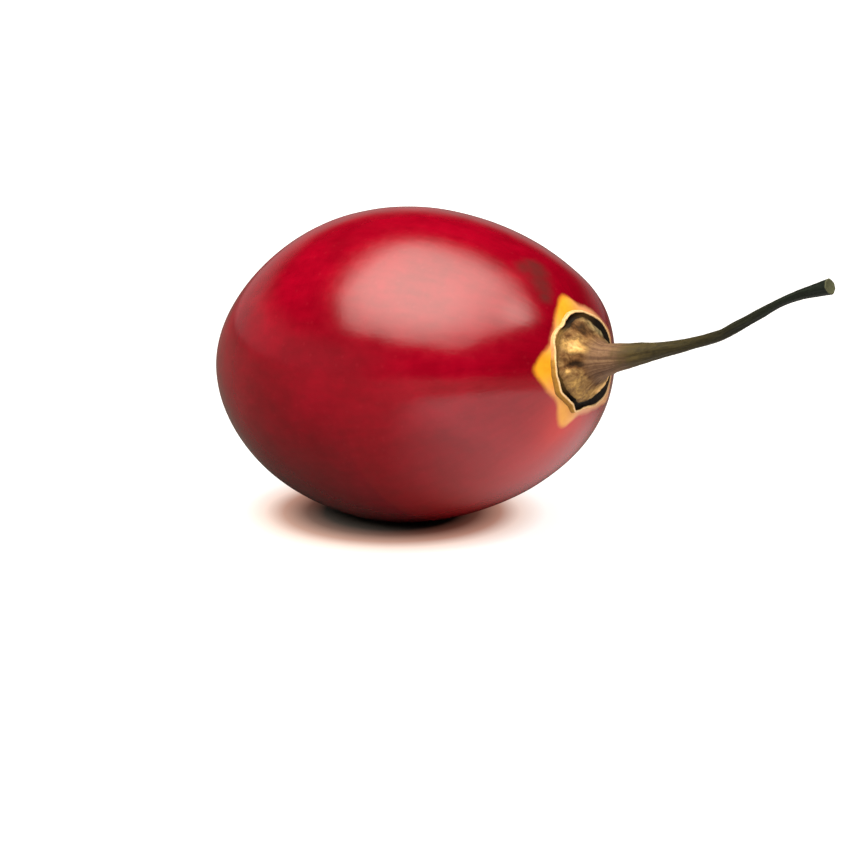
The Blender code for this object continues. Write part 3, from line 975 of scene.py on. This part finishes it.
class TAMARILLO_OT_stem(bpy.types.Operator):
    """Builds the stem on the calyx"""

    bl_idname = "tamarillo.stem"
    bl_label = "Build stem"

    def execute(self, context):
        size = context.scene.tamarillo_fruit
        mesh = stem_mesh()
        material = woody_stem_material(context.scene.tamarillo_stem)
        stem = placed("stem_stalk", mesh, fruit_placement(size), material)
        dress(stem, "stem")
        return {"FINISHED"}


class TAMARILLO_OT_stage(bpy.types.Operator):
    """Builds the floor, the light and the camera"""

    bl_idname = "tamarillo.stage"
    bl_label = "Build stage"

    def execute(self, context):
        settings = context.scene.tamarillo_stage
        build_floor(settings)
        build_softbox(settings)
        build_camera()
        context.scene.world = studio_world()
        context.scene.view_settings.view_transform = "Standard"
        return {"FINISHED"}


class TAMARILLO_PT_panel(bpy.types.Panel):
    """Sizes, colours and build buttons of the tamarillo"""

    bl_label = "Tamarillo"
    bl_idname = "TAMARILLO_PT_panel"
    bl_space_type = "VIEW_3D"
    bl_region_type = "UI"
    bl_category = "Tamarillo"

    def draw(self, context):
        for kind, group in SETTINGS.items():
            box = self.layout.box()
            for name in group.__annotations__:
                box.prop(getattr(context.scene, "tamarillo_" + kind), name)
            box.operator("tamarillo." + kind)


SETTINGS = {
    "fruit": TamarilloFruitSettings,
    "calyx": TamarilloCalyxSettings,
    "stem": TamarilloStemSettings,
    "stage": TamarilloStageSettings,
}
CLASSES = (
    *SETTINGS.values(), TAMARILLO_OT_fruit, TAMARILLO_OT_calyx, TAMARILLO_OT_stem,
    TAMARILLO_OT_stage, TAMARILLO_PT_panel,
)


def dress(piece, node):
    """Puts a piece in its CAD node's place: it moves with the body, and the node's own part is
    hidden.
    """
    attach(piece, "root")
    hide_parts(node)


def build_floor(settings):
    """A round table top with its edge turned down."""
    turn = np.arange(FLOOR_SIDES) * math.tau / FLOOR_SIDES
    rings = []
    for share, height in FLOOR_RINGS:
        reach = share * settings.floor_radius
        rings.append(np.stack((reach * np.cos(turn), reach * np.sin(turn), 0 * turn + height), -1))
    mesh = lathe_mesh("table_top", np.array(rings))
    floor = placed("table_top", mesh, Matrix.Identity(4), painted_shadow_floor_material())


def build_softbox(settings):
    """A wide softbox overhead, set forward and turned a little to lie along the fruit."""
    height = settings.softbox_height
    lamp = bpy.data.lights.new("overhead_softbox", "AREA")
    lamp.shape = "RECTANGLE"
    lamp.size, lamp.size_y = (share * height for share in SOFTBOX_SIZE)
    lamp.energy = settings.softbox_power
    lamp.color = SOFTBOX_COLOUR
    soften_edges(lamp)
    softbox = bpy.data.objects.new("overhead_softbox", lamp)
    bpy.context.scene.collection.objects.link(softbox)
    softbox.location = [share * height for share in SOFTBOX_AT]
    softbox.rotation_euler.z = SOFTBOX_TURN
    softbox.visible_camera = False


def soften_edges(lamp):
    """Gives a softbox the glow of a front cloth: bright over its lamps, fading at its edges."""
    lamp.use_nodes = True
    tree = lamp.node_tree
    tree.nodes.clear()
    across = add_node(tree, "NewGeometry").outputs["Parametric"]
    split = add_node(tree, "SeparateXYZ", {"Vector": across})
    fades = []
    for axis in ("X", "Y"):
        inside = add_node(tree, "Math", {0: split.outputs[axis], 1: 0.5}, operation="PINGPONG")
        fades.append(add_node(tree, "MapRange", {"Value": inside, 2: SOFTBOX_EDGE}, **SOFT_STEP))
    edges = add_node(tree, "Math", {0: fades[0], 1: fades[1]}, operation="MULTIPLY")
    spots = []
    for middle, reach, power, beyond in SOFTBOX_LAMPS:
        away = add_node(tree, "VectorMath", {0: across, 1: middle}, operation="DISTANCE")
        fall = {"Value": away, 1: 0.05, 2: reach, 3: power, 4: beyond}
        spots.append(add_node(tree, "MapRange", fall, **SOFT_STEP))
    bright = add_node(tree, "Math", {0: spots[0], 1: spots[1]}, operation="ADD")
    strength = add_node(tree, "Math", {0: edges, 1: bright}, operation="MULTIPLY")
    glow = add_node(tree, "Emission", {"Strength": strength})
    add_node(tree, "OutputLight", {"Surface": glow})


def build_camera():
    """The camera, level, looking down at the fruit from in front of its stem end."""
    camera = bpy.data.cameras.new("view")
    camera.lens = CAMERA_LENS
    camera.sensor_width = CAMERA_SENSOR
    camera.clip_start = 10 * MM
    stand = bpy.data.objects.new("view", camera)
    bpy.context.scene.collection.objects.link(stand)
    tilt = math.pi / 2 - CAMERA_ELEVATION
    turn = Euler((tilt, 0.0, CAMERA_AZIMUTH)).to_matrix().to_4x4()
    stand.matrix_world = Matrix.Translation(CAMERA_AT) @ turn
    bpy.context.scene.camera = stand


def register():
    """Makes the panel, its buttons and its settings known."""
    for made in CLASSES:
        bpy.utils.register_class(made)
    for kind, group in SETTINGS.items():
        setattr(bpy.types.Scene, "tamarillo_" + kind, PointerProperty(type=group))


def unregister():
    """Takes them all away again."""
    for kind in SETTINGS:
        delattr(bpy.types.Scene, "tamarillo_" + kind)
    for made in reversed(CLASSES):
        bpy.utils.unregister_class(made)


def main():
    """Builds the tamarillo and its stage."""
    register()
    bpy.ops.tamarillo.fruit()
    bpy.ops.tamarillo.calyx()
    bpy.ops.tamarillo.stem()
    bpy.ops.tamarillo.stage()


if __name__ == "__main__":
    main()
